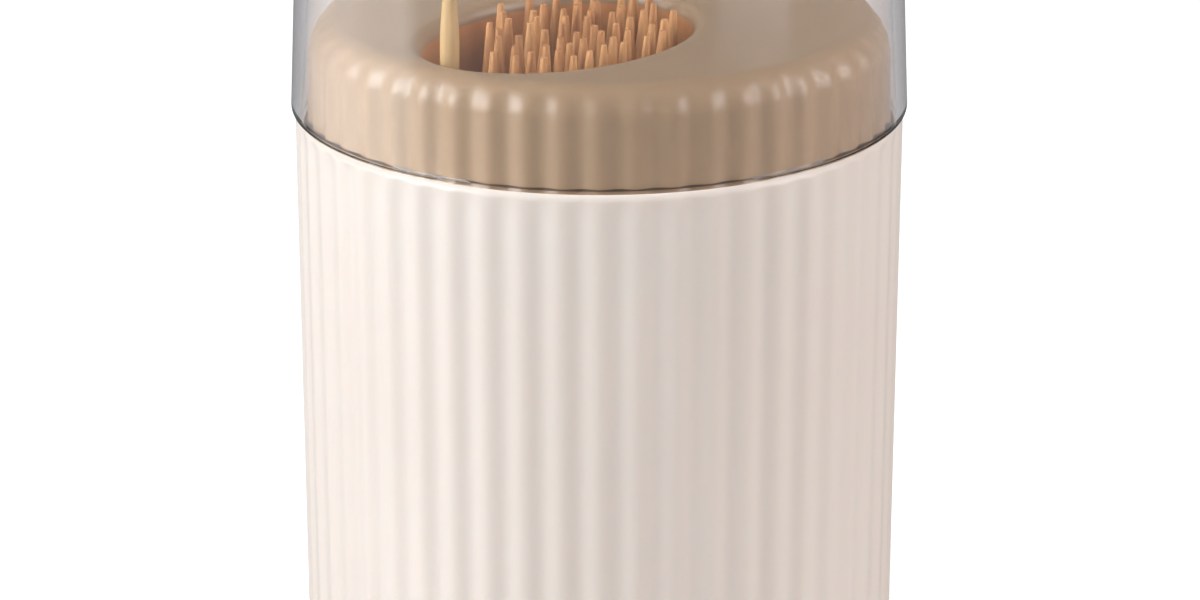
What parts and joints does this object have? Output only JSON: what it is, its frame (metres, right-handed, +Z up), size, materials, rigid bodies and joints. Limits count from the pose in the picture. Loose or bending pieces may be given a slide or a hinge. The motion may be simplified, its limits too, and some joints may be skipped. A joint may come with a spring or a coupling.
{
  "type": "toothpick dispenser",
  "caption": "Fluted round toothpick dispenser: clear lift-off cover, press-down inner cup with an oval well, and a fixed pin that raises one toothpick.",
  "frame": {"origin": "on the axis of the round body, at the surface that the rubber feet stand on", "axes": "+Z up along the axis of the body, -Y the front, with the front end of the oval well and its lift channel at the front left"},
  "size_m": [0.0668, 0.0668, 0.0998],
  "materials": {
    "cream_plastic": "satin moulded plastic",
    "khaki_plastic": "satin moulded plastic",
    "clear_plastic": "clear polished plastic",
    "white_plastic": "turned plastic",
    "steel": "bright zinc-plated steel",
    "rubber": "translucent grey silicone",
    "wood": "bare bamboo, fine grain along its length"
  },
  "bodies": {
    "base": {"body_shell": "cream_plastic", "base_plate": "cream_plastic", "base_screws": "steel", "rubber_feet": "rubber", "lift_pin": "steel", "return_spring": "steel"},
    "cup": {"inner_cup": "khaki_plastic", "guide_stem": "white_plastic", "stop_washer": "steel", "stem_screw": "steel", "toothpicks_row_a": "wood", "toothpicks_row_b": "wood", "toothpicks_row_c": "wood", "toothpicks_row_d": "wood", "toothpicks_row_e": "wood", "toothpicks_row_f": "wood", "toothpicks_row_g": "wood", "toothpicks_row_h": "wood"},
    "pick": {"raised_toothpick": "wood"},
    "cover": {"clear_cover": "clear_plastic"}
  },
  "joints": [
    {"name": "cup_press", "type": "slide", "parent": "base", "child": "cup", "axis": [0, 0, -1], "range_m": [0, 0.011], "stiffness_N_per_m": 600, "springref_m": -0.003, "deforming": ["return_spring"]},
    {"name": "pick_draw", "type": "slide", "parent": "cup", "child": "pick", "axis": [0, 0, 1], "range_m": [0, 0.004]},
    {"name": "cover_lift", "type": "slide", "parent": "base", "child": "cover", "axis": [0, 0, 1], "range_m": [0, 0.04]}
  ]
}
